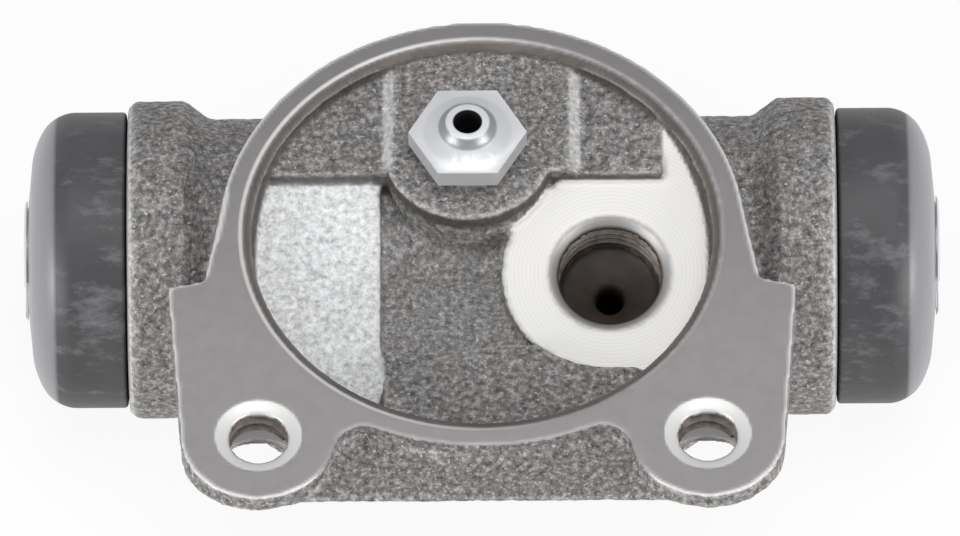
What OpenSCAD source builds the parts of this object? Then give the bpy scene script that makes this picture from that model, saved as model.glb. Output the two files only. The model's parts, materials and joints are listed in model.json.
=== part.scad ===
// Drum brake wheel cylinder: two opposed pistons in one cast iron body.
// The frame is the mounting flange: the origin lies midway between the two fixing holes on the
// machined face, +X runs along the barrel, +Y from the holes to the barrel, +Z out of the face.

/* [Barrel] */
// Diameter of the bore
bore_d = 17.46; // [15:0.01:19]
// Diameter of the cast barrel between the collars
barrel_d = 25; // [23:0.1:27]
// Length of the casting between the outer faces of the collars
body_len = 62.4; // [61:0.1:70]
// Diameter of the end collars
collar_d = 28.2; // [27:0.1:30]
// Width of the flat rim of each collar
collar_w = 5; // [3:0.1:6]
// Length of the slope from each collar down to the barrel
collar_slope = 2.2; // [1:0.1:2.6]
// Diameter of the spigot that carries each boot
spigot_d = 22.4; // [21.6:0.1:23]
// Length of the spigot outside each collar
spigot_len = 4.2; // [4:0.1:5]
// Depth of the boot's groove in the spigot
boot_groove = 0.8; // [0.5:0.1:1]
// Width of the boot's groove
boot_groove_w = 1.6; // [1.2:0.1:1.8]

/* [Mounting flange] */
// Height of the machined face above the axis of the barrel
face_h = 16.5; // [16:0.1:20]
// Distance between the fixing holes
bolt_pitch = 39; // [38:0.1:41]
// Distance from the barrel's axis to the line of the fixing holes
bolt_drop = 30.9; // [30:0.1:33]
// Diameter of the fixing holes, tapped M6
bolt_d = 5; // [4:0.1:6]
// Width of the countersink around each fixing hole
bolt_chamfer = 1.2; // [0.5:0.1:1.4]
// Depth of that countersink
bolt_sink = 0.45; // [0.2:0.05:0.5]
// Radius of the ears around the fixing holes
ear_r = 6.8; // [6:0.1:7]
// Thickness of the flange plate
flange_t = 4.5; // [3.5:0.1:6]
// Thickness left at the outer edge of the ears
ear_edge = 2; // [1.5:0.1:3]
// Width of the flange at its shoulders
shoulder_w = 55; // [53:0.5:58]
// Width of the waist between the ring and the shoulders
waist_w = 48.8; // [48:0.1:50]
// Distance from the barrel's axis to the shoulders
shoulder_drop = 14.9; // [13:0.1:17]
// Depth of the as-cast web between the ears below the machined face
web_recess = 1.5; // [0.8:0.1:2]
// Distance of the web's lower edge inside the tips of the ears
web_setback = 1; // [0.5:0.1:2]
// Radius of the corners between the web, the ears and the ring
web_fillet = 2.5; // [1.5:0.1:4]

/* [Ring] */
// Outer diameter of the machined ring
ring_d = 46; // [45:0.1:47]
// Distance from the barrel's axis to the centre of the ring
ring_drop = 9.2; // [8:0.1:10]
// Width of the ring's machined land
land_w = 2; // [1.8:0.1:2.4]
// Width of the rebate inside the land
rebate_w = 0.9; // [0.7:0.1:1.2]
// Depth of the rebate below the land
rebate_depth = 0.3; // [0.2:0.05:0.35]
// Draft of the ring's outer wall
ring_draft = 8; // [3:0.5:10]
// Depth of the pocket below the land
pocket_depth = 6.5; // [5.5:0.1:7]

/* [Core] */
// Depth of the core's upper terrace below the land
terrace_depth = 1.2; // [1:0.1:1.4]
// Distance from the barrel's axis to the lower edge of the terrace
terrace_drop = 2.2; // [1.5:0.1:3]
// Step from the terrace down to the pads
pad_step = 0.7; // [0.4:0.1:1.2]
// Lean of the pads toward the ears
pad_lean = 14; // [8:0.5:18]
// Distance of the cast pad's inner edge from the middle
pad_edge = 8.8; // [7:0.1:10]
// Width of the bleed boss across its sloped sides
boss_w = 17.2; // [15:0.1:18.5]
// Radius of the bleed boss below the screw
boss_r = 7.4; // [6.5:0.1:8]
// Height of the bleed boss above the terrace
boss_h = 0.8; // [0.4:0.1:0.8]
// Depth of the lower shelf below the land
shelf_depth = 4.2; // [3.5:0.1:5]
// Distance from the barrel's axis to the edge of the lower shelf
shelf_drop = 18; // [17:0.1:20]
// Radius of that edge
shelf_r = 21; // [18:0.5:30]
// Distance of the edge's highest point from the middle
shelf_x = 3.5; // [2:0.1:5]

/* [Inlet port] */
// Distance of the port from the middle of the barrel
port_x = 11.2; // [10:0.1:12]
// Diameter of the port, tapped M10 x 1
port_d = 8.92; // [8:0.01:9.2]
// Depth of the port's straight wall
port_depth = 4.8; // [4.5:0.1:5.4]
// Width of the chamfer at the port's mouth
port_chamfer = 0.9; // [0.4:0.1:1.2]
// Distance from the middle at which the spot face runs past the terrace
horn_x = 15.2; // [14:0.1:17]
// Radius of the spot face around the port
spot_r = 9.6; // [8.5:0.1:10]
// Distance of the port from the edge of the terrace, along the pad
port_drop = 8.8; // [8:0.1:9.6]
// Diameter of the drillings from the ports to the bore
feed_d = 2.5; // [1.5:0.1:3]

/* [Bleed screw] */
// Distance of the bleed screw from the middle of the barrel
bleed_x = -1.2; // [-2:0.1:2]
// Diameter of the threaded hole, on the pitch line of M8
bleed_d = 7.2; // [6:0.1:8]
// Depth of the threaded hole to its conical seat
bleed_depth = 4.1; // [3.6:0.1:4.5]
// Gap between the boss and the hexagon
hex_gap = 0.9; // [0.3:0.1:1.5]
// Width of the hexagon across its flats
hex_af = 9; // [8:0.1:10]
// Height of the hexagon
hex_h = 1.8; // [1.6:0.1:4]
// Diameter of the nose at its foot
nose_d = 5.1; // [4.6:0.1:6]
// Diameter of the nose at its tip
nose_tip_d = 3.8; // [3.4:0.1:4.4]
// Height of the crown and the nose above the hexagon
nose_h = 1.5; // [1.4:0.1:6]
// Diameter of the hole down the nose
nose_hole_d = 2.5; // [1.5:0.1:2.8]

/* [Pistons] */
// Distance of each piston's inner face from the middle
piston_in = 19.4; // [18.8:0.1:20]
// Length of the piston's skirt
skirt_len = 14; // [12:0.1:15]
// Diameter of the piston's nose
stem_d = 10.6; // [10:0.1:11]
// Depth of the boot's groove in the nose
stem_groove = 0.6; // [0.4:0.1:0.8]
// Length of the nose that stands out of the boot
stem_proud = 0.3; // [0.3:0.1:1.5]
// Width of the slot for the brake shoe
slot_w = 4.6; // [4.2:0.1:5]
// Depth of the slot
slot_depth = 5.2; // [4.5:0.1:6]

/* [Boots] */
// Outer diameter of the boots
boot_d = 26.2; // [26:0.1:27]
// Length of the straight side of a boot
boot_side = 5.1; // [4.5:0.1:5.2]
// Rise of the domed end from the side to the lip
boot_dome = 3.8; // [3:0.1:4]
// Thickness of the rubber at the end
boot_wall = 1.5; // [1.2:0.1:1.7]

/* [Seals and spring] */
// Length of each cup seal
cup_len = 4.6; // [4:0.1:5]
// Thickness of a cup's floor
cup_floor = 2; // [1.6:0.1:2.4]
// Thickness of a cup's lip
cup_lip = 1.8; // [1.5:0.1:2.2]
// Thickness of the spring seats
seat_t = 1; // [0.8:0.1:1.2]
// Diameter of the spring's wire
wire_d = 1; // [0.8:0.1:1.2]
// Mean diameter of the spring
coil_d = 8; // [7.4:0.1:8.4]
// Number of turns between the closed ends
coil_turns = 7; // [5:1:9]

/* [Fits] */
// Radial clearance of the pistons and cups in the bore
bore_clearance = 0.03; // [0.02:0.01:0.08]
// Radial clearance of the bleed screw in its hole
thread_clearance = 0.04; // [0.02:0.01:0.08]
// Gap where rubber and loose pieces sit on their seats
seat_gap = 0.1; // [0.05:0.01:0.2]

/* [Hidden] */
$fn = 96;
// How far a cut runs past the surface it opens
over = 1;
// Size of the small bevels on cast and turned edges
cast_edge = 0.6;
// Width of the rib from each ear to the barrel
rib_w = 4.6;
// Angle of the underside of the ears
underside_lean = 12;
// Thickness of the metal under the pocket
pocket_floor = 2;
// Distances from the barrel to the foot of the flange's underside, across and above the axis
root_gap = 1.5;
root_lift = 2.5;
// Slope of the cone that the port's drill leaves
drill_point = 31;
// Step from the bleed screw's thread to its neck, and the neck's length
neck_step = 0.7;
neck_h = 1.3;

// Heights are measured from the mounting face, and drops from the barrel's axis toward the ears.
axis_y = bolt_drop;
axis_z = -face_h;
ring_y = axis_y - ring_drop;
ring_r = ring_d / 2;
land_r = ring_r - land_w;
core_r = land_r - rebate_w;
bore_r = bore_d / 2;
half_len = body_len / 2;
end_x = half_len + spigot_len;
ear_tip_y = -ear_r;
web_y = ear_tip_y + web_setback;
shoulder_y = axis_y - shoulder_drop;
ear_side_x = bolt_pitch / 2 + ear_r;

// The flange's underside falls from the edge of the ears to the ear bosses and on to the barrel.
boss_under_z = -ear_edge - ear_r * tan(underside_lean);
root_y = axis_y - barrel_d / 2 - root_gap;
root_z = axis_z + root_lift;
far_y = ring_y + ring_r + face_h * tan(ring_draft);

// The pads lean in a plane that starts one step below the terrace at its lower edge.
terrace_y = axis_y - terrace_drop;
pad_top_z = -terrace_depth - pad_step;
port_y = terrace_y - port_drop * cos(pad_lean);
port_z = pad_top_z - port_drop * sin(pad_lean);
shelf_y = axis_y - shelf_drop;

// The bleed screw stands on the axis of the barrel, and its hexagon stays clear of the boss.
boss_top_z = -terrace_depth + boss_h;
bleed_seat_z = boss_top_z - bleed_depth;
hex_z = boss_top_z + hex_gap;
neck_r = bleed_d / 2 - neck_step;

// Distances along the barrel, from its middle.
piston_r = bore_r - bore_clearance;
skirt_end = piston_in + skirt_len;
cup_in = piston_in - cup_len;
seat_x = piston_in - cup_floor;
spring_x = seat_x - seat_t - wire_d / 2 - seat_gap / 2;
boot_end = half_len + boot_side + boot_dome;
stem_end = boot_end + stem_proud;
lip_r = stem_d / 2 - stem_groove + seat_gap;

// Places the children, drawn with +Z outward along the barrel, on the right or the left end.
module on_axis(side) {
    translate([0, axis_y, axis_z])
        rotate([0, side * 90, 0])
            children();
}

// Casting

module barrel_half() {
    rotate_extrude()
        polygon([
            [0, 0],
            [barrel_d / 2, 0],
            [barrel_d / 2, half_len - collar_w - collar_slope],
            [collar_d / 2, half_len - collar_w],
            [collar_d / 2, half_len - cast_edge],
            [collar_d / 2 - cast_edge, half_len],
            [spigot_d / 2, half_len],
            [spigot_d / 2, half_len + boot_groove_w],
            [spigot_d / 2 - boot_groove, half_len + boot_groove_w],
            [spigot_d / 2 - boot_groove, half_len + 2 * boot_groove_w],
            [spigot_d / 2, half_len + 2 * boot_groove_w],
            [spigot_d / 2, end_x - cast_edge],
            [spigot_d / 2 - cast_edge, end_x],
            [0, end_x]
        ]);
}

// Centre of the round of radius r that touches two circles about a and b from outside.
function touching(a, ra, b, rb, r) =
    let (
        gap = b - a,
        span = norm(gap),
        along = (pow(ra + r, 2) - pow(rb + r, 2) + span * span) / (2 * span),
        across = sqrt(pow(ra + r, 2) - along * along)
    )
    a + (along * gap + across * [-gap.y, gap.x]) / span;

// Fills the corner between two circles, up to the round that touches both.
module corner_fill(a, ra, b, rb, r) {
    centre = touching(a, ra, b, rb, r);
    difference() {
        polygon([a, b, centre]);
        translate(centre)
            circle(r);
    }
}

// Point where the line from p touches the circle of radius r about the origin.
function touch_point(p, r) =
    let (turn = atan2(p.y, p.x) + acos(r / norm(p)))
    r * [cos(turn), sin(turn)];

// Straight side of the waist, which leaves the ring along a tangent and ends at the shoulder.
module waist_side() {
    corner = [waist_w / 2, shoulder_y - ring_y];
    polygon([[0, 0], touch_point(corner, ring_r), corner, [0, corner.y]]);
}

// The machined face: the ring, and an ear on each side with its shoulder.
module face_outline() {
    ring_centre = [0, ring_y];
    translate(ring_centre)
        circle(ring_r);
    for (side = [-1, 1])
        scale([side, 1]) {
            ear = [bolt_pitch / 2, 0];
            translate(ear)
                circle(ear_r);
            polygon([ring_centre, [shoulder_w / 2, shoulder_y], [ear_side_x, 0], ear, [0, shoulder_y]]);
            corner_fill(ear, ear_r, ring_centre, ring_r, web_fillet);
            translate(ring_centre)
                waist_side();
        }
}

module web_outline() {
    translate([-bolt_pitch / 2, web_y])
        square([bolt_pitch, ring_y - web_y]);
}

// Side view of what stands on the barrel, drawn along X. The underside runs from the given front edge
// to the barrel.
module side_profile(front) {
    translate([-shoulder_w / 2, 0, 0])
        rotate([90, 0, 90])
            linear_extrude(shoulder_w)
                polygon(concat(front, [
                    [root_y, root_z],
                    [axis_y - barrel_d / 4, axis_z],
                    [axis_y + barrel_d / 4, axis_z],
                    [far_y, axis_z / 2],
                    [far_y, 0]
                ]));
}

// The ring's block, deep enough to leave a floor under the pocket.
module turret() {
    intersection() {
        side_profile([
            [ear_tip_y, 0],
            [ear_tip_y, -ear_edge],
            [ring_y - land_r, -pocket_depth - pocket_floor]
        ]);
        translate([0, ring_y, axis_z])
            cylinder(h = face_h, r1 = ring_r + face_h * tan(ring_draft), r2 = ring_r);
    }
}

// The plate with both ears, and a rib from each ear to the barrel.
module flange() {
    intersection() {
        side_profile([[ear_tip_y, 0], [ear_tip_y, -ear_edge], [0, boss_under_z]]);
        union() {
            translate([0, 0, -flange_t])
                linear_extrude(flange_t) {
                    face_outline();
                    web_outline();
                }
            for (side = [-1, 1])
                translate([side * bolt_pitch / 2, 0, 0]) {
                    translate([0, 0, boss_under_z])
                        cylinder(h = -boss_under_z, r = ear_r);
                    translate([-rib_w / 2, 0, axis_z])
                        cube([rib_w, axis_y, face_h - flange_t + cast_edge]);
                }
        }
    }
}

module bleed_boss() {
    translate([bleed_x, axis_y, axis_z])
        cylinder(h = boss_top_z - axis_z, r = boss_r);
    translate([0, far_y, 0])
        rotate([90, 0, 0])
            linear_extrude(far_y - terrace_y)
                polygon([
                    [-boss_w / 2, axis_z],
                    [boss_w / 2, axis_z],
                    [boss_w / 2, -terrace_depth],
                    [boss_w / 2 - boss_h, boss_top_z],
                    [-boss_w / 2 + boss_h, boss_top_z],
                    [-boss_w / 2, -terrace_depth]
                ]);
}

// Outline of the spot face around the port, carried on to the side of the ring and past the terrace.
module spot_outline() {
    circle(spot_r);
    translate([0, -spot_r])
        square([land_r, spot_r + port_drop]);
    translate([horn_x - port_x, 0])
        square([land_r, 2 * spot_r]);
}

// Places the children on the leaning plane of the spot face, at the port.
module at_port() {
    translate([port_x, port_y, port_z])
        rotate([pad_lean, 0, 0])
            children();
}

module inlet_pad() {
    at_port()
        translate([0, 0, -face_h])
            linear_extrude(face_h)
                spot_outline();
}

module cast_pad() {
    translate([-land_r, terrace_y, pad_top_z])
        rotate([pad_lean, 0, 0])
            translate([0, -ring_d, -face_h])
                cube([land_r - pad_edge, ring_d + over, face_h]);
}

// What stands inside the ring: terrace, bleed boss, both pads and the crown of the barrel.
module core() {
    // The terrace laps a little over the start of the inlet pad's horn
    translate([-land_r, terrace_y, axis_z])
        cube([land_r + horn_x + cast_edge, far_y - terrace_y, face_h - terrace_depth]);
    bleed_boss();
    inlet_pad();
    cast_pad();
    rotate([0, 90, 0])
        translate([-axis_z, axis_y, -land_r])
            cylinder(h = 2 * land_r, r = barrel_d / 2 + cast_edge);
}

// Low shelf on the side of the ears, with a curved edge, cut away by the spot face.
module shelf() {
    difference() {
        intersection() {
            translate([shelf_x, shelf_y - shelf_r, axis_z])
                cylinder(h = face_h - shelf_depth, r = shelf_r);
            translate([-pad_edge, ring_y - land_r, axis_z])
                cube([pad_edge + land_r, land_r, face_h]);
        }
        at_port()
            linear_extrude(face_h)
                spot_outline();
    }
}

module pocket() {
    translate([0, ring_y, -rebate_depth])
        cylinder(h = rebate_depth + over, r = land_r);
    difference() {
        translate([0, ring_y, -pocket_depth])
            cylinder(h = pocket_depth + over, r = core_r);
        core();
        shelf();
    }
}

module fixing_holes() {
    for (side = [-1, 1])
        translate([side * bolt_pitch / 2, 0, 0]) {
            translate([0, 0, axis_z])
                cylinder(h = face_h + over, d = bolt_d);
            translate([0, 0, -bolt_sink])
                cylinder(h = bolt_sink, d1 = bolt_d, d2 = bolt_d + 2 * bolt_chamfer);
        }
}

module port_drilling() {
    cone_h = (port_d - feed_d) / 2 * tan(drill_point);
    at_port() {
        translate([0, 0, -port_depth])
            cylinder(h = port_depth + over, d = port_d);
        translate([0, 0, -port_chamfer])
            cylinder(h = port_chamfer, d1 = port_d, d2 = port_d + 2 * port_chamfer);
        translate([0, 0, -port_depth - cone_h])
            cylinder(h = cone_h, d1 = feed_d, d2 = port_d);
        translate([0, 0, -port_depth - bore_r])
            cylinder(h = bore_r, d = feed_d);
    }
}

module bleed_drilling() {
    seat_h = (bleed_d - feed_d) / 2;
    translate([bleed_x, axis_y, 0]) {
        translate([0, 0, bleed_seat_z])
            cylinder(h = -bleed_seat_z, d = bleed_d);
        translate([0, 0, bleed_seat_z - seat_h])
            cylinder(h = seat_h, d1 = feed_d, d2 = bleed_d);
        translate([0, 0, axis_z])
            cylinder(h = bleed_seat_z - axis_z, d = feed_d);
    }
}

module body() {
    color("dimgray")
        difference() {
            union() {
                for (side = [-1, 1])
                    on_axis(side)
                        barrel_half();
                difference() {
                    union() {
                        turret();
                        flange();
                    }
                    pocket();
                }
            }
            on_axis(1)
                translate([0, 0, -end_x - over])
                    cylinder(h = 2 * (end_x + over), d = bore_d);
            translate([0, 0, -web_recess])
                linear_extrude(web_recess + over)
                    difference() {
                        web_outline();
                        face_outline();
                    }
            fixing_holes();
            port_drilling();
            bleed_drilling();
        }
}

// Moving pieces, each drawn with +Z outward along the barrel

module piston() {
    groove_end = boot_end + seat_gap;
    groove_start = boot_end - boot_wall - seat_gap;
    difference() {
        rotate_extrude()
            polygon([
                [0, piston_in],
                [piston_r - cast_edge, piston_in],
                [piston_r, piston_in + cast_edge],
                [piston_r, skirt_end - cast_edge],
                [piston_r - cast_edge, skirt_end],
                [stem_d / 2, skirt_end],
                [stem_d / 2, groove_start],
                [stem_d / 2 - stem_groove, groove_start],
                [stem_d / 2 - stem_groove, groove_end],
                [stem_d / 2, groove_end],
                [stem_d / 2 - cast_edge / 2, stem_end],
                [0, stem_end]
            ]);
        translate([-slot_w / 2, -stem_d, stem_end - slot_depth])
            cube([slot_w, 2 * stem_d, slot_depth + over]);
    }
}

module cup_seal() {
    rotate_extrude()
        polygon([
            [0, piston_in],
            [piston_r - cast_edge, piston_in],
            [piston_r, piston_in - cast_edge],
            [piston_r, cup_in + cast_edge],
            [piston_r - cast_edge, cup_in],
            [piston_r - cup_lip + cast_edge, cup_in],
            [piston_r - cup_lip, seat_x],
            [0, seat_x]
        ]);
}

// Pressed dish: a disc against the cup's floor with a rim under its lip and a peg for the spring.
module spring_seat() {
    rim_r = piston_r - cup_lip - seat_gap;
    peg_r = (coil_d - wire_d) / 2 - 2 * seat_gap;
    rotate_extrude()
        polygon([
            [0, seat_x],
            [rim_r, seat_x],
            [rim_r, cup_in + cast_edge],
            [rim_r - seat_t, cup_in + cast_edge],
            [rim_r - seat_t, seat_x - seat_t],
            [peg_r, seat_x - seat_t],
            [peg_r - cast_edge, seat_x - 2 * seat_t - cast_edge],
            [0, seat_x - 2 * seat_t - cast_edge]
        ]);
}

module boot() {
    inner_r = spigot_d / 2 + seat_gap;
    bead_r = inner_r - boot_groove;
    side_end = half_len + boot_side;
    bead_start = half_len + boot_groove_w + seat_gap;
    bead_end = half_len + 2 * boot_groove_w - seat_gap;
    dome_steps = 12;
    // The end is a quarter of an ellipse from the side to the lip
    function dome(i, r, rise) =
        let (turn = 90 * i / dome_steps)
        [lip_r + (r - lip_r) * cos(turn), side_end + rise * sin(turn)];
    rotate_extrude()
        polygon(concat(
            [
                [inner_r, half_len + seat_gap],
                [boot_d / 2, half_len + seat_gap]
            ],
            [for (i = [0:dome_steps]) dome(i, boot_d / 2, boot_dome)],
            [for (i = [dome_steps:-1:0]) dome(i, inner_r, boot_dome - boot_wall)],
            [
                [inner_r, bead_end],
                [bead_r, bead_end],
                [bead_r, bead_start],
                [inner_r, bead_start]
            ]
        ));
}

// Coil spring, swept along a helix whose pitch closes at both ends.
module return_spring() {
    sides = 8;
    rings_per_turn = 16;
    end_turns = 1;
    turns = coil_turns + 2 * end_turns;
    rings = turns * rings_per_turn;
    free_len = 2 * spring_x - 2 * end_turns * wire_d;
    function height(turn) =
        turn < end_turns ? turn * wire_d
        : turn > turns - end_turns ? 2 * spring_x - (turns - turn) * wire_d
        : end_turns * wire_d + (turn - end_turns) / coil_turns * free_len;
    points = [
        for (i = [0:rings], j = [0:sides - 1])
            let (
                around = 360 * i / rings_per_turn,
                tilt = 360 * j / sides,
                r = coil_d / 2 + wire_d / 2 * cos(tilt)
            )
            [
                r * cos(around),
                r * sin(around),
                height(i / rings_per_turn) - spring_x + wire_d / 2 * sin(tilt)
            ]
    ];
    walls = [
        for (i = [0:rings - 1], j = [0:sides - 1])
            let (next = (j + 1) % sides)
            [i * sides + j, (i + 1) * sides + j, (i + 1) * sides + next, i * sides + next]
    ];
    ends = [
        [for (j = [0:sides - 1]) j],
        [for (j = [sides - 1:-1:0]) rings * sides + j]
    ];
    color("silver")
        on_axis(1)
            polyhedron(points, concat(walls, ends), convexity = 10);
}

module bleed_screw() {
    shank_r = bleed_d / 2 - thread_clearance;
    tip_r = feed_d / 2;
    tip_top = bleed_seat_z - bleed_d / 2 + neck_r + seat_gap;
    neck_top = tip_top + neck_h;
    crown_r = hex_af / 2 - cast_edge;
    crown_h = nose_h / 2;
    cross_z = tip_top + neck_h / 2;
    cross_d = neck_h / 2;
    crown_z = hex_z + hex_h;
    color("gainsboro")
        translate([bleed_x, axis_y, 0])
            difference() {
                union() {
                    translate([0, 0, hex_z])
                        cylinder(h = hex_h, d = hex_af / cos(30), $fn = 6);
                    translate([0, 0, crown_z])
                        cylinder(h = crown_h, r1 = crown_r, r2 = nose_d / 2);
                    translate([0, 0, crown_z + crown_h])
                        cylinder(h = nose_h - crown_h, d1 = nose_d, d2 = nose_tip_d);
                    translate([0, 0, neck_top])
                        cylinder(h = hex_z - neck_top, r = shank_r);
                    translate([0, 0, tip_top])
                        cylinder(h = neck_h, r = neck_r);
                    translate([0, 0, tip_top - neck_r + tip_r])
                        cylinder(h = neck_r - tip_r, r1 = tip_r, r2 = neck_r);
                }
                translate([0, 0, cross_z])
                    cylinder(h = crown_z + nose_h - cross_z + over, d = nose_hole_d);
                translate([-bleed_d, 0, cross_z])
                    rotate([0, 90, 0])
                        cylinder(h = 2 * bleed_d, d = cross_d);
            }
}

module left_piston() { color("lightgray") on_axis(-1) piston(); }
module right_piston() { color("lightgray") on_axis(1) piston(); }
module left_cup_seal() { color("black") on_axis(-1) cup_seal(); }
module right_cup_seal() { color("black") on_axis(1) cup_seal(); }
module left_spring_seat() { color("silver") on_axis(-1) spring_seat(); }
module right_spring_seat() { color("silver") on_axis(1) spring_seat(); }
module left_boot() { color("#3a3a3c") on_axis(-1) boot(); }
module right_boot() { color("#3a3a3c") on_axis(1) boot(); }

body();
left_piston();
right_piston();
left_cup_seal();
right_cup_seal();
left_spring_seat();
right_spring_seat();
return_spring();
left_boot();
right_boot();
bleed_screw();
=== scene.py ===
# %% [markdown]
# # A drum brake wheel cylinder
# The part is an iron casting with a bore through it, two pistons that push the brake shoes apart, and a
# rubber boot over each end. The solids come from the CAD frame, already in place and in metres. This
# lesson gives them their real surfaces: a sand-cast skin, machined faces, rubber, zinc and threads.

# %% Load the frame
import json
import math

import bmesh
import bpy
import numpy as np
from mathutils import Matrix, Quaternion, Vector, noise


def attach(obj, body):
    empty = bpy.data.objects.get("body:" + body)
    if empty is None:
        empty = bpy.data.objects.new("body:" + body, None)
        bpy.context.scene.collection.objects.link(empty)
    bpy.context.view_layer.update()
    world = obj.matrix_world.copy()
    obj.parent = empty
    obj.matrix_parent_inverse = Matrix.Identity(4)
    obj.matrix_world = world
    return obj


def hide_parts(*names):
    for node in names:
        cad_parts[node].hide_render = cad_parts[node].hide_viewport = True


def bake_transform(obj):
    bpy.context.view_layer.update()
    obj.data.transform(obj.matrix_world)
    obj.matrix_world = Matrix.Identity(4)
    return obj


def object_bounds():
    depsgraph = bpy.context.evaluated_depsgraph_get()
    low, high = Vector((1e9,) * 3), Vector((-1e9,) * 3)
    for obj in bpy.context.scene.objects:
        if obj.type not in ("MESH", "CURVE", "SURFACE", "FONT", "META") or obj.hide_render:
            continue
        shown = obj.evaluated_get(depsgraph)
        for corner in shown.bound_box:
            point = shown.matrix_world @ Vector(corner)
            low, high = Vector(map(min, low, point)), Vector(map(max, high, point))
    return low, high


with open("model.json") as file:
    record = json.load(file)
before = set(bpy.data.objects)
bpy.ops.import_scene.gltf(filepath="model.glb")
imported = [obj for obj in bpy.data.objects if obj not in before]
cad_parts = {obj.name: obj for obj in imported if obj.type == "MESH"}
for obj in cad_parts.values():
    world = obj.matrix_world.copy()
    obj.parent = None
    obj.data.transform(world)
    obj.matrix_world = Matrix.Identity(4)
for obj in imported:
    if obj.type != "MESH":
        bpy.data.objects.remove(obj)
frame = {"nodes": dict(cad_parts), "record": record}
cad_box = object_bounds()
MM = 0.001
mounts = {mount["name"]: mount for mount in frame["record"]["mounts"]}
print("nodes:", ", ".join(sorted(frame["nodes"])))

# %% [markdown]
# The camera comes first, because every later choice is judged through it. The cylinder lies on its back
# with the machined face up, and it is seen from 54 degrees above the horizon, on the side of the ears.
# A long lens far away keeps the rounds true. A roll of a third of a degree levels the picture.

# %% Camera
target = Vector((-0.18, 30.18, -17.02)) * MM
elevation = math.radians(54)
roll = Quaternion((0, 0, 1), math.radians(-0.35))
distance = 1.6
picture_width = 84.96 * MM
back = Vector((0, -math.cos(elevation), math.sin(elevation)))
lens_data = bpy.data.cameras.new("camera")
lens_data.sensor_width = 36
lens_data.lens = lens_data.sensor_width * distance / picture_width
lens_data.clip_start = 0.01
lens_data.clip_end = 20
camera = bpy.data.objects.new("camera", lens_data)
camera.location = target + back * distance
camera.rotation_mode = "QUATERNION"
camera.rotation_quaternion = (-back).to_track_quat("-Z", "Y") @ roll
bpy.context.scene.collection.objects.link(camera)
bpy.context.scene.camera = camera
bpy.context.scene.view_settings.view_transform = "Standard"
print("lens", round(lens_data.lens), "mm")

# %% [markdown]
# Materials are built from nodes. These helpers keep that short: one starts a Principled shader, one adds a
# node, sets its fields, and either links or sets each input, and the rest are small uses of that one.


# %% Node helpers
def start_material(name):
    material = bpy.data.materials.new(name)
    material.use_nodes = True
    tree = material.node_tree
    return material, tree, tree.nodes["Principled BSDF"]


def add(tree, kind, inputs=(), **fields):
    node = tree.nodes.new(kind)
    for field, value in fields.items():
        setattr(node, field, value)
    for key, value in dict(inputs).items():
        feed(tree, node, key, value)
    return node


def feed(tree, node, key, value):
    if isinstance(value, bpy.types.NodeSocket):
        tree.links.new(value, node.inputs[key])
    else:
        node.inputs[key].default_value = value


def math_node(tree, operation, a, b=0.0):
    return add(tree, "ShaderNodeMath", {0: a, 1: b}, operation=operation).outputs[0]


def mix_colour(tree, factor, a, b):
    return add(tree, "ShaderNodeMix", {0: factor, 6: a, 7: b}, data_type="RGBA").outputs[2]


def multiply(tree, a, b):
    inputs = {0: 1.0, 6: a, 7: b}
    return add(tree, "ShaderNodeMix", inputs, data_type="RGBA", blend_type="MULTIPLY").outputs[2]


def mix_value(tree, factor, a, b):
    return add(tree, "ShaderNodeMix", {0: factor, 2: a, 3: b}, data_type="FLOAT").outputs[0]


def ramp(tree, value, *stops):
    node = add(tree, "ShaderNodeValToRGB", {0: value})
    elements = node.color_ramp.elements
    while len(elements) < len(stops):
        elements.new(1.0)
    for element, (place, level) in zip(elements, stops):
        element.position = place
        element.color = (level, level, level, 1)
    return node.outputs[0]


def grain(tree, size_mm, detail=3.0, roughness=0.6):
    place = add(tree, "ShaderNodeTexCoord").outputs["Object"]
    inputs = {"Vector": place, "Scale": 1 / (size_mm * MM), "Detail": detail, "Roughness": roughness}
    return add(tree, "ShaderNodeTexNoise", inputs).outputs[0]


def bump(tree, height, depth_mm):
    inputs = {"Strength": 1.0, "Distance": depth_mm * MM, "Height": height}
    return add(tree, "ShaderNodeBump", inputs).outputs[0]


def white_for_eye_and_gloss(tree):
    light_path = add(tree, "ShaderNodeLightPath").outputs
    return math_node(tree, "MAXIMUM", light_path["Is Camera Ray"], light_path["Is Glossy Ray"])


print("materials so far:", len(bpy.data.materials))

# %% [markdown]
# The floor is a plain pale sheet under the lowest point of the casting. It receives the shadow, and most of
# what the camera sees of it is plain white, so the background stays white without more light on the metal.

# %% Floor
floor_z = cad_box[0].z
WHITE_SHARE = 0.88
bm = bmesh.new()
bmesh.ops.create_grid(bm, x_segments=1, y_segments=1, size=1.5)
bmesh.ops.translate(bm, vec=(0, 0.3, floor_z), verts=bm.verts)
floor_mesh = bpy.data.meshes.new("floor")
bm.to_mesh(floor_mesh)
bm.free()
floor = bpy.data.objects.new("floor", floor_mesh)
bpy.context.scene.collection.objects.link(floor)
paper, tree, shader = start_material("floor_paper")
shader.inputs["Base Color"].default_value = (0.92, 0.92, 0.92, 1)
shader.inputs["Roughness"].default_value = 0.9
shader.inputs["Specular IOR Level"].default_value = 0.0
white = add(tree, "ShaderNodeEmission").outputs[0]
share = math_node(tree, "MULTIPLY", white_for_eye_and_gloss(tree), WHITE_SHARE)
mixed = add(tree, "ShaderNodeMixShader", {0: share, 1: shader.outputs[0], 2: white})
tree.links.new(mixed.outputs[0], tree.nodes["Material Output"].inputs[0])
floor_mesh.materials.append(paper)
print("floor at", round(floor_z / MM, 2), "mm")
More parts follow.
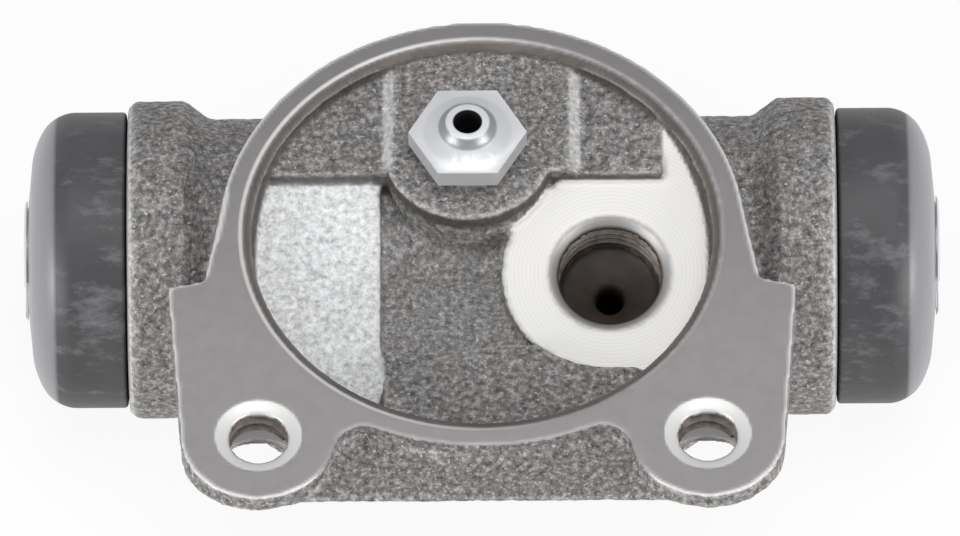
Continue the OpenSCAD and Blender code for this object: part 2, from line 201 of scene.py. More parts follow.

# %% [markdown]
# The light is that of a small product studio: one wide soft box overhead and a low one at each side, which
# rakes over the grain and lights the walls of the ring. A grey world fills the hollows. The eye and the
# reflections see that world as a white tent, which adds a pale sheen to the ends of the boots, whose colour
# also holds a painted sheen.


# %% Lamps
def soft_box(name, place, width, height, power):
    lamp = bpy.data.lights.new(name, "AREA")
    lamp.shape = "RECTANGLE"
    lamp.size, lamp.size_y = width, height
    lamp.energy = power
    box = bpy.data.objects.new(name, lamp)
    box.location = place
    box.rotation_mode = "QUATERNION"
    box.rotation_quaternion = (target - Vector(place)).to_track_quat("-Z", "Y")
    bpy.context.scene.collection.objects.link(box)


soft_box("overhead_box", (0.05, 0.0, 0.75), 0.55, 0.55, 2.4)
soft_box("left_box", (-0.54, -0.3, 0.15), 0.4, 0.28, 3.2)
soft_box("right_box", (0.54, -0.3, 0.15), 0.4, 0.28, 3.2)
world = bpy.data.worlds.new("studio")
world.use_nodes = True
world.node_tree.nodes["Background"].inputs[0].default_value = (0.95, 0.97, 1.0, 1)
tent = mix_value(world.node_tree, white_for_eye_and_gloss(world.node_tree), 0.38, 1.0)
feed(world.node_tree, world.node_tree.nodes["Background"], 1, tent)
bpy.context.scene.world = world
print("lamps:", [lamp.name for lamp in bpy.data.lights])

# %% [markdown]
# The casting starts as a copy of its CAD solid. A solid's corners are razor sharp, and sand cannot mould
# that. A bevel would have to sort out every odd corner of the pocket, so a voxel remesh does it instead:
# it rebuilds the skin from cells about a quarter of a millimetre wide, and three smoothing passes round the
# edges.


# %% Casting: a rounded skin
MERGE = 0.002 * MM
CELL = 0.27 * MM
SMOOTHING_PASSES = 3


def merged_copy(node):
    bm = bmesh.new()
    bm.from_mesh(frame["nodes"][node].data)
    bmesh.ops.remove_doubles(bm, verts=bm.verts, dist=MERGE)
    return bm


def new_piece(name, bm):
    mesh = bpy.data.meshes.new(name)
    bm.to_mesh(mesh)
    bm.free()
    piece = bpy.data.objects.new(name, mesh)
    bpy.context.scene.collection.objects.link(piece)
    return piece


def apply_modifiers(piece):
    graph = bpy.context.evaluated_depsgraph_get()
    mesh = bpy.data.meshes.new_from_object(piece.evaluated_get(graph))
    piece.modifiers.clear()
    piece.data = mesh


casting = new_piece("casting", merged_copy("body"))
cells = casting.modifiers.new("cells", "REMESH")
cells.mode = "VOXEL"
cells.voxel_size = CELL
apply_modifiers(casting)
bm = bmesh.new()
bm.from_mesh(casting.data)
for _ in range(SMOOTHING_PASSES):
    bmesh.ops.smooth_vert(bm, verts=bm.verts, factor=0.5, use_axis_x=True, use_axis_y=True, use_axis_z=True)
bm.to_mesh(casting.data)
bm.free()
print("casting skin:", len(casting.data.polygons), "faces")

# %% [markdown]
# To treat parts of the skin apart, the script has to know where they are. These are the sizes of the CAD
# solid in millimetres, partly read from its mounts. The helper called rise is a smooth step from 0 to 1
# between two limits, and with a minus sign before its value and limits it falls instead.

# %% Casting: sizes and measuring
AXIS_Y, AXIS_Z = 30.9, -16.5
RING_Y, RING_R, LAND_R, CORE_R = 21.7, 23.0, 21.0, 20.1
BLEED_X, TERRACE_Y, BOSS_X, BOSS_END_R, COLLAR_END = -1.2, 28.7, 8.2, 7.4, 31.2
HOLE_X = mounts["mounting_bolts"]["dims"]["spacing_x_mm"] / 2
PORT_OUT = np.array(mounts["inlet_port"]["axis"])
PORT_MID = np.array(mounts["inlet_port"]["pos_m"]) / MM
PORT_CHAMFER, PORT_DEPTH, SPOT_R, PORT_DROP, HORN_X = 0.9, 4.8, 9.6, 8.8, 15.8
PAD_LEAN = 14
PORT_MOUTH = PORT_MID + PORT_OUT * (PORT_CHAMFER + PORT_DEPTH) / 2


def rise(x, low, high):
    t = np.clip((x - low) / (high - low), 0, 1)
    return t * t * (3 - 2 * t)


def places_and_normals(mesh):
    places = np.empty(len(mesh.vertices) * 3, np.float32)
    mesh.vertices.foreach_get("co", places)
    normals = np.empty(len(mesh.vertices) * 3, np.float32)
    mesh.vertex_normals.foreach_get("vector", normals)
    return places.reshape(-1, 3).astype(float) / MM, normals.reshape(-1, 3).astype(float)


def store(mesh, label, values):
    layer = mesh.attributes.new(label, "FLOAT", "POINT")
    layer.data.foreach_set("value", values.astype(np.float32))


places, normals = places_and_normals(casting.data)
print("vertices to sort:", len(places), "port mouth, mm:", PORT_MOUTH.round(2))

# %% [markdown]
# A foundry leaves the whole skin rough, and then the machinist cuts only the faces that have to fit: the
# ring and the ears, the holes, the bore, the spot face of the inlet. These masks find those faces from where
# each vertex lies and which way it looks. They are used twice, once for the grain and once for the colour.
# Some masks are for colour alone: painted light on pale rims and slopes, and painted shade in dark lines
# at the foot of a step.


# %% Casting: which faces are machined
def from_port(places):
    offset = places - PORT_MOUTH
    height = offset @ PORT_OUT
    return height, np.linalg.norm(offset - np.outer(height, PORT_OUT), axis=1)


def spot_outline(places):
    along = (places - PORT_MOUTH) @ np.cross(PORT_OUT, (1, 0, 0))
    sideways = places[:, 0] - PORT_MOUTH[0]
    disc = rise(-np.hypot(along, sideways), -SPOT_R - 0.2, -SPOT_R)
    side = rise(sideways, -0.1, 0.1) * rise(along, -SPOT_R - 0.2, -SPOT_R)
    below_terrace = rise(-along, -PORT_DROP - 0.05, -PORT_DROP + 0.1)
    horn = rise(places[:, 0], HORN_X - 0.1, HORN_X + 0.1)
    return np.maximum(disc, side) * np.maximum(below_terrace, horn)


def machined_masks(places, normals):
    x, y, z = places.T
    ring_r = np.hypot(x, y - RING_Y)
    bore_r = np.hypot(y - AXIS_Y, z - AXIS_Z)
    hole_r = np.hypot(np.abs(x) - HOLE_X, y)
    height, port_r = from_port(places)
    leaning = normals @ PORT_OUT
    face = rise(z, -0.30, -0.12) * rise(normals[:, 2], 0.2, 0.6)
    hole = rise(-hole_r, -4.0, -3.75) * rise(z, -6.0, -5.8)
    countersink = rise(hole_r, 2.35, 2.5) * rise(-hole_r, -3.85, -3.7) * rise(z, -0.65, -0.5)
    inside_land = rise(-ring_r, -LAND_R - 0.1, -LAND_R + 0.1) * rise(-z, 0.12, 0.25)
    rebate = inside_land * rise(ring_r, CORE_R - 0.05, CORE_R + 0.1) * rise(z, -0.6, -0.45)
    core_edge = inside_land * rise(ring_r, CORE_R - 0.45, CORE_R - 0.15)
    outer_wall = rise(ring_r, RING_R - 0.4, RING_R) * rise(-ring_r, -RING_R - 2.6, -RING_R - 2.1)
    outer_wall = outer_wall * rise(z, -6.5, -5.0) * rise(y, 15.5, 16.5) * rise(-normals[:, 2], -0.8, -0.5)
    collar_rim = rise(np.abs(x), COLLAR_END - 0.5, COLLAR_END - 0.3) * rise(bore_r, 13.2, 13.6)
    bore = rise(-bore_r, -9.2, -9.0)
    ends = rise(np.abs(x), COLLAR_END - 0.2, COLLAR_END - 0.05)
    bleed_hole = rise(-np.hypot(x - BLEED_X, y - AXIS_Y), -3.9, -3.75)
    port_wall = rise(-port_r, -5.6, -5.45) * rise(height, -8.6, -8.2)
    port_chamfer = rise(port_r, 4.4, 4.55) * rise(-port_r, -5.5, -5.3) * rise(height, -1.0, -0.8)
    spot = rise(-np.abs(height), -0.35, -0.2) * rise(leaning, 0.5, 0.8) * spot_outline(places)
    spot = spot * rise(-ring_r, -CORE_R + 0.15, -CORE_R + 0.4)
    # The pale pad, the sides of the boss, the collar rims and the shaded saddle are painted light on the
    # skin.
    pale = rise(-np.abs(height), -0.6, -0.4) * rise(leaning, 0.3, 0.7) * rise(-x, 8.3, 8.8)
    pale = pale * rise(-ring_r, -CORE_R - 0.1, -CORE_R + 0.2) * rise(-y, -TERRACE_Y - 0.2, -TERRACE_Y + 0.1)
    slopes = rise(-np.abs(np.abs(x) - BOSS_X), -0.65, -0.3) * rise(y, TERRACE_Y + 0.2, TERRACE_Y + 0.8)
    slopes = slopes * rise(-ring_r, -CORE_R + 0.2, -CORE_R + 0.6) * rise(normals[:, 2], 0.3, 0.5)
    slopes = slopes * rise(-z, 0.2, 0.3) * rise(z, -1.5, -1.3)
    in_core = rise(-ring_r, -CORE_R, -CORE_R + 0.2)
    saddle = in_core * rise(-z, 2.2, 2.8) * rise(z, -7.5, -7.0) * rise(y, 12.5, 13.5)
    # Painted shade: dark lines at the foot of the terrace's step, round the end of the boss and at the
    # core's edge.
    step = in_core * rise(-np.abs(y - TERRACE_Y), -0.45, -0.2) * rise(-z, 1.25, 1.45)
    boss_end = rise(-np.abs(np.hypot(x - BLEED_X, y - AXIS_Y) - BOSS_END_R), -0.5, -0.25)
    boss_end = boss_end * rise(-y, -TERRACE_Y - 0.3, -TERRACE_Y) * rise(-z, 0.6, 0.9) * rise(z, -2.4, -1.8)
    cut = np.max([face, hole, rebate, outer_wall, bore, ends, bleed_hole, port_wall, spot], axis=0)
    # Painted shade: the insides of the port and the fixing holes, and the rebate, are darkened.
    inside_port = rise(-port_r, -5.2, -4.9) * rise(-height, 0.5, 0.9)
    inside_hole = 0.5 * rise(-hole_r, -2.9, -2.7) * rise(-z, 0.4, 0.6) * rise(z, -6.0, -5.8)
    # Painted highlight: the spot face, the port's chamfer, the countersinks and, faintly, the ring's outer
    # wall are made bright.
    bright = np.maximum(np.minimum(spot, 1 - rise(-port_r, -5.5, -5.3)), 0.45 * port_chamfer)
    return {
        "face": face,
        "machined": cut,
        "bright_cut": bright,
        "white_cut_highlight": np.maximum(countersink, 0.25 * outer_wall),
        "painted_light_skin": np.max([pale, 0.6 * slopes, 0.6 * collar_rim, 0.1 * saddle], axis=0),
        "shaded_cut": np.max([inside_port, inside_hole, 0.85 * rebate], axis=0),
        "shaded_skin": np.max([step, boss_end, core_edge], axis=0),
    }


cut = machined_masks(places, normals)["machined"]
print("machined share of the skin:", round(float(cut.mean()), 2))

# %% [markdown]
# Outer edges are painted brighter, partly as wear from handling and partly as a painted highlight. A vertex
# on such an edge stands proud of its neighbours' mean, so that distance, measured while the skin is still
# smooth, is kept with the mesh as well. The edges in the notch between the ears are left dull.


# %% Casting: bright edges, from wear and painted highlight
def edge_highlight_and_wear(mesh, places, normals, passes=2):
    pairs = np.empty(len(mesh.edges) * 2, np.int32)
    mesh.edges.foreach_get("vertices", pairs)
    a, b = pairs.reshape(-1, 2).T
    links = np.bincount(a, minlength=len(places)) + np.bincount(b, minlength=len(places))

    def around(values):
        total = np.bincount(a, values[b], len(places)) + np.bincount(b, values[a], len(places))
        return total / np.maximum(links, 1)

    middle = np.stack([around(column) for column in places.T], axis=1)
    bulge = np.einsum("ij,ij->i", places - middle, normals)
    for _ in range(passes):
        bulge = 0.5 * bulge + 0.5 * around(bulge)
    return rise(bulge, 0.006, 0.022)


# Painted highlight and wear: outer edges are made brighter, except in the notch between the ears.
between_ears = rise(-np.abs(places[:, 0]), -15.5, -13.5) * rise(-places[:, 1], -6.0, -4.5)
lit_and_worn = edge_highlight_and_wear(casting.data, places, normals) * (1 - 0.9 * between_ears)
store(casting.data, "edge_highlight_and_wear", lit_and_worn)
print("worn share of the skin:", round(float(lit_and_worn.mean()), 3))

# %% [markdown]
# The grain is real geometry: every vertex of the cast skin sinks along its normal by a seeded noise, a broad
# swell of the mould and a fine sandy pitting. Sinking only inwards keeps the casting inside its true size.
# The tapped holes are opened to the root of their thread here, and the crest comes back as a ridge later.

# %% Casting: sand grain
THREAD_DEPTH = 0.45
DEEPEST = 0.3
noise.seed_set(7)
swell = np.array([noise.noise(Vector(p) * 0.3) for p in places])
pits = np.array([noise.fractal(Vector(p) * 1.05, 0.9, 2.1, 3) for p in places])
sink = (1 - cut) * (0.06 + 0.05 * swell + 0.085 * np.clip(pits + 0.35, 0, 1.3))
places = places - normals * np.clip(sink, 0, DEEPEST)[:, None]


def open_to_root(places, centre, out, wall_r, top, bottom):
    offset = places - centre
    height = offset @ out
    across = offset - np.outer(height, out)
    reach = np.linalg.norm(across, axis=1)
    inside = (np.abs(reach - wall_r) < 0.3) & (height < top) & (height > bottom)
    places[inside] += across[inside] / reach[inside, None] * THREAD_DEPTH
    return int(inside.sum())


UP = np.array((0.0, 0.0, 1.0))
port_wall_r = mounts["inlet_port"]["dims"]["r_mm"]
hole_wall_r = mounts["mounting_bolts"]["dims"]["hole_r_mm"]
moved = open_to_root(places, PORT_MOUTH, PORT_OUT, port_wall_r, -PORT_CHAMFER - 0.2, -PORT_DEPTH + 0.3)
for side in (-1, 1):
    moved += open_to_root(places, np.array((side * HOLE_X, 0, 0)), UP, hole_wall_r, -0.7, -6.0)
casting.data.vertices.foreach_set("co", (places * MM).astype(np.float32).ravel())
casting.data.update()
print("deepest pit", round(float(sink.max()), 2), "mm;", moved, "thread vertices")

# %% [markdown]
# The skin now has more faces than a library wants. Decimation merges them where the surface is plain. A
# vertex group keeps it off the mounting face and the spot face, where long thin triangles would smear the
# edges, and weighted normals let flat faces shade flat. The masks are measured again on the thinned mesh and
# stored as attributes, so that the material can read them.

# %% Casting: thin out and store the masks
MOST_TRIANGLES = 190000
masks = machined_masks(places, normals)
plain = np.maximum(masks["face"], masks["bright_cut"]) < 0.01
group = casting.vertex_groups.new(name="may_be_thinned")
group.add(np.flatnonzero(plain).tolist(), 1.0, "REPLACE")
thin = casting.modifiers.new("thin", "DECIMATE")
thin.ratio = MOST_TRIANGLES / (2 * len(casting.data.polygons))
thin.vertex_group = group.name
apply_modifiers(casting)
casting.vertex_groups.clear()
casting.data.polygons.foreach_set("use_smooth", [True] * len(casting.data.polygons))
casting.modifiers.new("flat_faces", "WEIGHTED_NORMAL")
apply_modifiers(casting)
masks = machined_masks(*places_and_normals(casting.data))
for label, mask in masks.items():
    store(casting.data, label, mask)
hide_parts("body")
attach(casting, "casting")
print("casting:", len(casting.data.polygons), "triangles")

# %% [markdown]
# One material covers the whole casting, because it is one piece of iron. It starts with the cast skin,
# which is brownish grey with dark pits and bright specks. The pale mask paints light and the dark mask
# paints shade into its tone, and the edges are brighter, partly with wear and partly as a painted highlight.


# %% Material: cast skin
def attribute(tree, label):
    return add(tree, "ShaderNodeAttribute", attribute_name=label).outputs["Fac"]


iron, tree, shader = start_material("casting_iron")
labels = ("face", "machined", "bright_cut", "white_cut_highlight", "shaded_cut")
is_face, is_cut, is_bright, is_white, is_shaded = (attribute(tree, label) for label in labels)
is_pale, is_step, is_edge = (attribute(tree, label) for label in ("painted_light_skin", "shaded_skin", "edge_highlight_and_wear"))
sand = grain(tree, 0.55, 4.0, 0.7)
specks = grain(tree, 0.34, 2.0, 0.5)
blotch = ramp(tree, grain(tree, 5.0, 3.0, 0.6), (0.35, 0.0), (0.65, 1.0))
pitted = ramp(tree, sand, (0.34, 0.055), (0.52, 0.185), (0.68, 0.4))
tint = mix_colour(tree, blotch, (1.04, 0.97, 0.91, 1), (1.0, 0.97, 0.95, 1))
skin = multiply(tree, pitted, tint)
skin = mix_colour(tree, ramp(tree, specks, (0.62, 0.0), (0.72, 0.8)), skin, (0.55, 0.54, 0.52, 1))
# Painted light: this paler tone goes where the pale mask lights the skin.
painted_lit_skin = ramp(tree, sand, (0.3, 0.38), (0.5, 0.66), (0.66, 0.84))
skin = mix_colour(tree, is_pale, skin, painted_lit_skin)
# Painted highlight and wear: edges of the skin are brighter.
rubbed_and_lit = math_node(tree, "MULTIPLY", is_edge, ramp(tree, sand, (0.35, 0.15), (0.6, 0.6)))
skin = mix_colour(tree, rubbed_and_lit, skin, (0.5, 0.49, 0.47, 1))
# Painted shade: the shaded mask darkens the skin at the foot of steps.
skin = mix_colour(tree, math_node(tree, "MULTIPLY", is_step, 0.9), skin, (0.05, 0.043, 0.038, 1))
print("skin nodes:", len(tree.nodes))

# %% [markdown]
# Where the cutter went, the iron is a satin grey with fine rings around the ring's centre. Its tone falls
# from the ears to the far side, a painted shade, and a painted highlight marks the inner edge of the land,
# strongest on the left. The spot face of the inlet and the countersinks are almost white, cut iron with a
# painted highlight, and painted shade makes the rebate and the insides of the tapped holes dark.


# %% Material: machined iron
WAVE_PERIOD = 0.314
FADE_LENGTH = 50 * MM
HIGHLIGHT_WHITE = (0.6, 0.595, 0.58, 1)


def tool_rings(tree, centre_mm, lean_deg, pitch_mm):
    place = add(tree, "ShaderNodeTexCoord").outputs["Object"]
    turn = (math.radians(lean_deg), 0, 0)
    inputs = {"Vector": place, "Location": [c * MM for c in centre_mm], "Rotation": turn}
    local = add(tree, "ShaderNodeMapping", inputs, vector_type="TEXTURE").outputs[0]
    inputs = {"Vector": local, "Scale": WAVE_PERIOD / (pitch_mm * MM), "Distortion": 0.4, "Detail": 1.0}
    inputs["Detail Scale"] = 400.0
    return add(tree, "ShaderNodeTexWave", inputs, wave_type="RINGS", rings_direction="Z").outputs[1]


face_rings = tool_rings(tree, (0, RING_Y, 0), 0, 0.22)
spot_rings = tool_rings(tree, PORT_MOUTH, PAD_LEAN, 0.35)
satin = mix_colour(tree, grain(tree, 1.6, 3.0), (0.222, 0.208, 0.207, 1), (0.278, 0.262, 0.261, 1))
place = add(tree, "ShaderNodeTexCoord").outputs["Object"]
along, across = add(tree, "ShaderNodeSeparateXYZ", {0: place}).outputs[:2]
# Painted shade: the satin darkens from the ears towards the far side of the ring.
painted_falloff = ramp(tree, math_node(tree, "DIVIDE", across, FADE_LENGTH), (0.2, 1.0), (0.75, 0.72))
satin = multiply(tree, satin, painted_falloff)
level = add(tree, "ShaderNodeVectorMath", {0: place, 1: (1, 1, 0)}, operation="MULTIPLY").outputs[0]
ring_centre = (0, RING_Y * MM, 0)
from_ring = add(tree, "ShaderNodeVectorMath", {0: level, 1: ring_centre}, operation="DISTANCE").outputs[1]
reach = math_node(tree, "DIVIDE", from_ring, RING_R * MM)
# Painted highlight: a bright line on the inner edge of the land, fading out towards the right.
painted_land_highlight = ramp(tree, reach, (0.9108, 0.0), (0.9145, 0.75), (0.924, 0.75), (0.9295, 0.0))
along = math_node(tree, "ADD", math_node(tree, "DIVIDE", along, FADE_LENGTH), 0.5)
left = ramp(tree, along, (0.3, 1.0), (0.65, 0.1))
painted_land_highlight = math_node(tree, "MULTIPLY", math_node(tree, "MULTIPLY", is_face, painted_land_highlight), left)
satin = mix_colour(tree, painted_land_highlight, satin, HIGHLIGHT_WHITE)
# Painted highlight and wear: edges of the machined face are brighter.
satin = mix_colour(tree, math_node(tree, "MULTIPLY", is_edge, 0.9), satin, (0.66, 0.65, 0.64, 1))
# Painted highlight on the milled spot face: its pale tone.
milled_and_lit = mix_colour(tree, spot_rings, (0.52, 0.51, 0.485, 1), (0.555, 0.545, 0.52, 1))
# Painted shade: this dark brown goes into the rebate and the tapped holes.
painted_shade_cut = mix_colour(tree, blotch, (0.055, 0.042, 0.034, 1), (0.09, 0.074, 0.062, 1))
cut_with_painted_light = mix_colour(tree, is_white, mix_colour(tree, is_bright, satin, milled_and_lit), HIGHLIGHT_WHITE)
cut_colour = mix_colour(tree, is_shaded, cut_with_painted_light, painted_shade_cut)
print("with machined iron:", len(tree.nodes))

# %% [markdown]
# The machined mask now chooses between the two, for colour, metal, roughness and bump alike.

# %% Material: iron put together
feed(tree, shader, "Base Color", mix_colour(tree, is_cut, skin, cut_colour))
feed(tree, shader, "Metallic", mix_value(tree, is_cut, 0.25, 0.45))
feed(tree, shader, "Roughness", mix_value(tree, is_cut, mix_value(tree, sand, 0.75, 0.5), 0.45))
rings = math_node(tree, "MULTIPLY", mix_value(tree, is_bright, face_rings, spot_rings), 0.03)
feed(tree, shader, "Normal", bump(tree, mix_value(tree, is_cut, sand, rings), 0.12))
casting.data.materials.clear()
casting.data.materials.append(iron)
print("iron nodes:", len(tree.nodes))

# %% [markdown]
# A thread is a ridge wound along a helix. Spin does that directly: its dvec moves the profile along the axis
# at every step. The profile is a small blunt triangle with its foot in the wall and its crest at the tapping
# drill's radius. Both fixing holes and the inlet port have a pitch of one millimetre.


# %% Threads
FOOT_IN_WALL = 0.1


def helix(bm, geom, centre, axis, turns, pitch, steps_per_turn=40):
    steps = max(1, round(abs(turns) * steps_per_turn))
    advance = axis * (pitch * turns / steps)
    turn = 2 * math.pi * turns
    made = bmesh.ops.spin(bm, geom=geom, cent=centre, axis=axis, dvec=advance, angle=turn, steps=steps)
    return made["geom_last"]


def thread_ridge(name, mouth, out, crest_r, start, length, pitch=1.0):
    out = Vector(out).normalized()
    across = Vector((1, 0, 0))
    foot = Vector(mouth) - out * start + across * (crest_r + THREAD_DEPTH + FOOT_IN_WALL)
    half = out * pitch * 0.42
    flat = out * pitch * 0.07
    crest = foot - across * (THREAD_DEPTH + FOOT_IN_WALL)
    bm = bmesh.new()
    corners = [bm.verts.new(p * MM) for p in (foot + half, crest + flat, crest - flat, foot - half)]
    bm.faces.new(corners)
    helix(bm, bm.verts[:] + bm.edges[:] + bm.faces[:], Vector(mouth) * MM, -out, length / pitch, pitch * MM)
    bmesh.ops.recalc_face_normals(bm, faces=bm.faces)
    ridge = new_piece(name, bm)
    ridge.data.polygons.foreach_set("use_smooth", [False] * len(ridge.data.polygons))
    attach(ridge, "casting")
    return ridge


ridges = [thread_ridge("inlet_thread", PORT_MOUTH, PORT_OUT, port_wall_r, start=1.3, length=3.2)]
for label, side in (("left", -1), ("right", 1)):
    mouth = (side * HOLE_X, 0, 0)
    ridges.append(thread_ridge(f"{label}_fixing_thread", mouth, UP, hole_wall_r, start=0.9, length=1.9))
print("threads:", [(ridge.name, len(ridge.data.polygons)) for ridge in ridges])

# %% [markdown]
# Inside a tapped hole the iron is oily and in shade, so it is darker and browner than the machined face,
# with a low shine.

# %% Material: tapped iron
tapped, tree, shader = start_material("tapped_iron")
oil = ramp(tree, grain(tree, 0.8, 3.0), (0.35, 0.0), (0.65, 1.0))
feed(tree, shader, "Base Color", mix_colour(tree, oil, (0.09, 0.072, 0.06, 1), (0.2, 0.175, 0.155, 1)))
shader.inputs["Metallic"].default_value = 0.6
feed(tree, shader, "Roughness", mix_value(tree, oil, 0.34, 0.5))
for ridge in ridges:
    ridge.data.materials.append(tapped)
print("tapped iron on", len(ridges), "threads")

# %% [markdown]
# A dust boot is a thick rubber cap: a straight side that grips the spigot of the casting, and a domed end
# with a hole for the piston. A dozen points draw its section, with a bead inside for the spigot's groove.
# Each soft corner is bevelled by its own size, and the section is spun about the barrel. Where the dome
# begins is kept as an attribute, so that its colour moves with the rubber.


# %% Boots
AXIS = Vector((0, AXIS_Y, AXIS_Z))
BOOT_SECTION = (
    (31.35, 11.3), (31.35, 13.08), (37.6, 13.08), (39.55, 10.3), (40.08, 4.85), (38.6, 4.85),
    (38.3, 8.8), (37.1, 11.3), (34.3, 11.3), (34.3, 10.5), (32.9, 10.5), (32.9, 11.3),
)
BOOT_ROUNDS = {1: 0.35, 2: 1.65, 3: 1.6, 4: 0.35, 5: 0.3, 6: 1.2, 7: 1.1}
DOME_LIMITS = (37.4, 37.85)
LONG_EDGE = 0.9 * MM
SEAM = 0.005 * MM


def boot(name, side):
    bm = bmesh.new()
    section = [bm.verts.new((AXIS + Vector((side * x, 0, r))) * MM) for x, r in BOOT_SECTION]
    bm.faces.new(section)
    for corner, size in BOOT_ROUNDS.items():
        bmesh.ops.bevel(
            bm, geom=[section[corner]], offset=size * MM, offset_type="OFFSET", affect="VERTICES",
            segments=8, profile=0.5, material=-1,
        )
    bmesh.ops.delete(bm, geom=list(bm.faces), context="FACES_ONLY")
    long_edges = [edge for edge in bm.edges if edge.calc_length() > LONG_EDGE]
    bmesh.ops.subdivide_edges(bm, edges=long_edges, cuts=5)
    bmesh.ops.spin(
        bm, geom=bm.verts[:] + bm.edges[:], cent=AXIS * MM, axis=(1, 0, 0), dvec=(0, 0, 0),
        angle=2 * math.pi, steps=96, use_merge=True,
    )
    bmesh.ops.remove_doubles(bm, verts=bm.verts, dist=SEAM)
    bmesh.ops.recalc_face_normals(bm, faces=bm.faces)
    piece = new_piece(name, bm)
    piece.data.polygons.foreach_set("use_smooth", [True] * len(piece.data.polygons))
    end_x = np.abs(places_and_normals(piece.data)[0][:, 0])
    store(piece.data, "dome", rise(end_x, *DOME_LIMITS))
    return piece


boots = {}
for label, side in (("left", -1), ("right", 1)):
    piece = boot(f"{label}_dust_boot", side)
    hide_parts(f"{label}_boot")
    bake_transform(piece)
    boots[label] = piece
print("boots:", [(b.name, len(b.data.polygons)) for b in boots.values()])

# %% [markdown]
# Moulded rubber is dark grey, never black. It picks up light scuffs from handling, a stretched noise that
# only shows above a threshold. The domed end is smoother, and its paler colour is a painted sheen.

# %% Material: rubber
rubber, tree, shader = start_material("boot_rubber")
place = add(tree, "ShaderNodeTexCoord").outputs["Object"]
drawn_out = add(tree, "ShaderNodeMapping", {"Vector": place, "Scale": (0.45, 1.0, 1.0)}).outputs[0]
scuff_noise = add(
    tree, "ShaderNodeTexNoise", {"Vector": drawn_out, "Scale": 420.0, "Detail": 6.0, "Roughness": 0.72}
).outputs[0]
scuffs = ramp(tree, scuff_noise, (0.53, 0.0), (0.74, 0.8))
bloom = ramp(tree, grain(tree, 7.0, 4.0), (0.3, 0.0), (0.7, 1.0))
dark = mix_colour(tree, bloom, (0.031, 0.03, 0.032, 1), (0.05, 0.049, 0.052, 1))
dark = mix_colour(tree, scuffs, dark, (0.19, 0.19, 0.195, 1))
on_dome = attribute(tree, "dome")
# Painted sheen: the domed end is paler.
feed(tree, shader, "Base Color", mix_colour(tree, on_dome, dark, (0.2, 0.2, 0.212, 1)))
feed(tree, shader, "Roughness", mix_value(tree, on_dome, mix_value(tree, scuffs, 0.5, 0.7), 0.34))
feed(tree, shader, "Normal", bump(tree, grain(tree, 0.35, 3.0), 0.02))
for piece in boots.values():
    piece.data.materials.append(rubber)
for label in ("left_cup_seal", "right_cup_seal"):
    frame["nodes"][label].material_slots[0].material = rubber
print("rubber on the boots and the cup seals")

# %% [markdown]
# The turned pieces keep their CAD form, and only their edges are broken, as a lathe hand does with a file.
# A copy of the solid is merged, the triangles of each flat face are dissolved into one, and every sharp edge
# gets a small bevel.


# %% Turned pieces
def with_broken_edges(name, node, body, width_mm, angle_deg=32):
    bm = merged_copy(node)
    bmesh.ops.dissolve_limit(bm, angle_limit=math.radians(0.5), verts=bm.verts, edges=bm.edges)
    limit = math.radians(angle_deg)
    sharp = [e for e in bm.edges if len(e.link_faces) == 2 and e.calc_face_angle(0) > limit]
    bmesh.ops.bevel(
        bm, geom=sharp, offset=width_mm * MM, offset_type="OFFSET", affect="EDGES", segments=2, profile=0.5,
        material=-1, clamp_overlap=True,
    )
    bmesh.ops.recalc_face_normals(bm, faces=bm.faces)
    piece = new_piece(name, bm)
    piece.data.polygons.foreach_set("use_smooth", [True] * len(piece.data.polygons))
    piece.data.set_sharp_from_angle(angle=math.radians(25))
    piece.data.materials.clear()
    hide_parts(node)
    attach(piece, body)
    return piece


turned = {}
for label in ("left", "right"):
    piston = f"{label}_piston"
    turned[label] = with_broken_edges(f"{label}_turned_piston", piston, piston, 0.15)
bleeder = with_broken_edges("bleed_nipple", "bleed_screw", "bleed_screw", 0.16)
print("turned pieces:", [(p.name, len(p.data.polygons)) for p in (*turned.values(), bleeder)])

# %% [markdown]
# The bleed screw and the spring seats are zinc plated: bright, a little blue, and softly clouded rather than
# mirror-like. On the screw the crown and the corners are pale, the flank of the nose is dull and the hole is
# dark with painted shade, so its tone is a ramp over the distance from its own axis. The pistons are turned
# aluminium, whose fine rings run around the barrel.

# %% Materials: zinc and aluminium
RAMP_REACH = 5 * MM
zinc, tree, shader = start_material("bright_zinc")
cloud = grain(tree, 1.4, 4.0)
place = add(tree, "ShaderNodeTexCoord").outputs["Object"]
inputs = {"Vector": place, "Location": (BLEED_X * MM, AXIS_Y * MM, 0)}
local = add(tree, "ShaderNodeMapping", inputs, vector_type="TEXTURE").outputs[0]
flat = add(tree, "ShaderNodeVectorMath", {0: local, 1: (1, 1, 0)}, operation="MULTIPLY").outputs[0]
reach = add(tree, "ShaderNodeVectorMath", {0: flat}, operation="LENGTH").outputs["Value"]
share = math_node(tree, "DIVIDE", reach, RAMP_REACH)
# Painted shade darkens the hole at the start of this ramp.
tone = ramp(
    tree, share, (0.25, 0.03), (0.27, 0.62), (0.37, 0.62), (0.40, 0.25),
    (0.50, 0.27), (0.53, 0.54), (0.75, 0.56), (0.80, 0.62),
)
clouded = mix_colour(tree, cloud, (0.92, 0.93, 0.95, 1), (1.0, 1.0, 1.0, 1))
feed(tree, shader, "Base Color", multiply(tree, tone, clouded))
shader.inputs["Metallic"].default_value = 0.6
feed(tree, shader, "Roughness", mix_value(tree, cloud, 0.3, 0.45))
feed(tree, shader, "Normal", bump(tree, grain(tree, 0.4, 3.0), 0.01))
bleeder.data.materials.append(zinc)
for label in ("left_spring_seat", "right_spring_seat"):
    frame["nodes"][label].material_slots[0].material = zinc

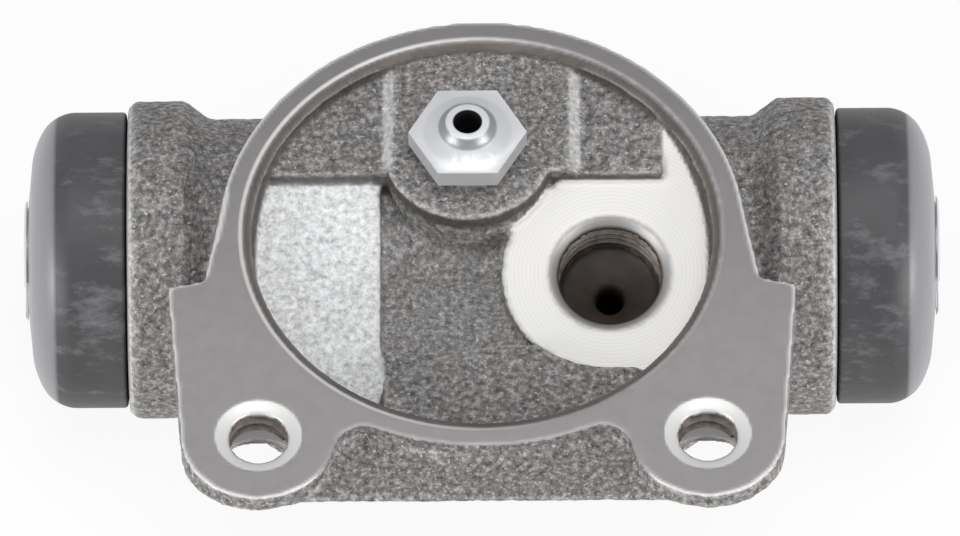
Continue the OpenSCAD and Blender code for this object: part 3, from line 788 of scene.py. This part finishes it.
aluminium, tree, shader = start_material("turned_aluminium")
place = add(tree, "ShaderNodeTexCoord").outputs["Object"]
bands = add(
    tree, "ShaderNodeTexWave", {"Vector": place, "Scale": 1600.0, "Distortion": 0.6, "Detail": 2.0},
    wave_type="BANDS", bands_direction="X",
).outputs[1]
feed(tree, shader, "Base Color", mix_colour(tree, bands, (0.62, 0.62, 0.63, 1), (0.74, 0.74, 0.75, 1)))
shader.inputs["Metallic"].default_value = 0.9
feed(tree, shader, "Roughness", mix_value(tree, grain(tree, 1.0), 0.28, 0.42))
feed(tree, shader, "Normal", bump(tree, bands, 0.012))
for piece in turned.values():
    piece.data.materials.append(aluminium)
print("zinc and aluminium set")

# %% [markdown]
# The return spring sits between the two cups and is never seen from outside. It is drawn in two halves from
# the middle, wound by spin as the threads are, with one closed turn at each end.

# %% Return spring
WIRE_R, COIL_R, SPRING_END, CLOSED_TURNS, OPEN_TURNS = 0.5, 4.0, 15.85, 1, 3.5
SPRING_STEPS = 32
open_pitch = (SPRING_END - CLOSED_TURNS * 2 * WIRE_R) / OPEN_TURNS
wire, tree, shader = start_material("spring_wire")
steel = mix_colour(tree, grain(tree, 0.9), (0.33, 0.33, 0.34, 1), (0.5, 0.5, 0.5, 1))
feed(tree, shader, "Base Color", steel)
shader.inputs["Metallic"].default_value = 0.9
shader.inputs["Roughness"].default_value = 0.35
along_barrel = Vector((1, 0, 0))
halves = []
for label, side in (("left", -1), ("right", 1)):
    bm = bmesh.new()
    bmesh.ops.create_circle(bm, cap_ends=True, segments=10, radius=WIRE_R * MM)
    bmesh.ops.rotate(bm, cent=(0, 0, 0), matrix=Matrix.Rotation(math.pi / 2, 3, "X"), verts=bm.verts)
    bmesh.ops.translate(bm, vec=(AXIS + Vector((0, 0, COIL_R))) * MM, verts=bm.verts)
    wire_end = bm.verts[:] + bm.edges[:] + bm.faces[:]
    for turns, pitch in ((OPEN_TURNS, open_pitch), (CLOSED_TURNS, 2 * WIRE_R)):
        wire_end = helix(bm, wire_end, AXIS * MM, along_barrel, side * turns, pitch * MM, SPRING_STEPS)
    bmesh.ops.remove_doubles(bm, verts=bm.verts, dist=MERGE)
    bmesh.ops.recalc_face_normals(bm, faces=bm.faces)
    half = new_piece(f"{label}_spring_half", bm)
    half.data.polygons.foreach_set("use_smooth", [True] * len(half.data.polygons))
    half.data.materials.append(wire)
    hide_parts("return_spring")
    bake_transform(half)
    halves.append(half)
print("spring halves:", [(h.name, len(h.data.polygons)) for h in halves])
